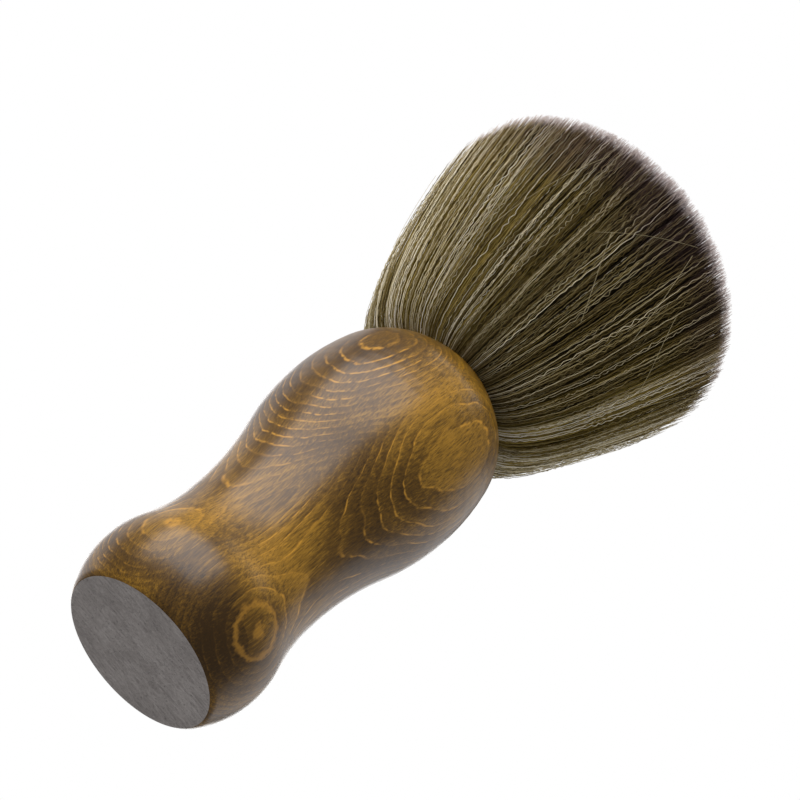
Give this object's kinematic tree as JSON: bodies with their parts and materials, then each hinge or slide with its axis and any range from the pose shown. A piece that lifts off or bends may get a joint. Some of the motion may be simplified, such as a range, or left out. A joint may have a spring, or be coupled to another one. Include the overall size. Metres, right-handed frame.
{
  "type": "neck duster brush",
  "caption": "Barber's neck duster: a turned, lacquered wooden handle with a waist, and a wide round head of soft dark bristles that bends under a stroke.",
  "frame": {"origin": "centre of the handle's flat foot", "axes": "+Z along the brush's axis from the foot to the bristle tips; the brush is round, and +X and +Y are the axes that the bristles bend about"},
  "size_m": [0.0856, 0.0856, 0.166],
  "materials": {
    "stained_beech": "stained, glossy clear lacquer",
    "adhesive": "clear amber, cured",
    "cup_metal": "drawn, satin",
    "root_resin": "cured resin, full of bristle roots",
    "cord": "twisted, waxed",
    "bristle": "crimped dark bristle with lighter strands, soft sheen"
  },
  "bodies": {
    "handle": {"handle": "stained_beech", "socket_adhesive": "adhesive", "knot_cup": "cup_metal", "root_resin": "root_resin", "binding_cord": "cord", "bristle_root": "bristle"},
    "bristle_neck": {"bristle_neck": "bristle"},
    "bristle_head": {"bristle_core": "bristle", "bristle_lock_01": "bristle", "bristle_lock_02": "bristle", "bristle_lock_03": "bristle", "bristle_lock_04": "bristle", "bristle_lock_05": "bristle", "bristle_lock_06": "bristle", "bristle_lock_07": "bristle", "bristle_lock_08": "bristle", "bristle_lock_09": "bristle", "bristle_lock_10": "bristle", "bristle_lock_11": "bristle", "bristle_lock_12": "bristle"}
  },
  "joints": [
    {"name": "bend_about_x", "type": "hinge", "parent": "handle", "child": "bristle_neck", "pos_m": [0, 0, 0.0874], "axis": [1, 0, 0], "range_deg": [-20, 20], "stiffness_Nm_per_rad": 0.5},
    {"name": "bend_about_y", "type": "hinge", "parent": "bristle_neck", "child": "bristle_head", "pos_m": [0, 0, 0.0874], "axis": [0, 1, 0], "range_deg": [-20, 20], "stiffness_Nm_per_rad": 0.5}
  ]
}
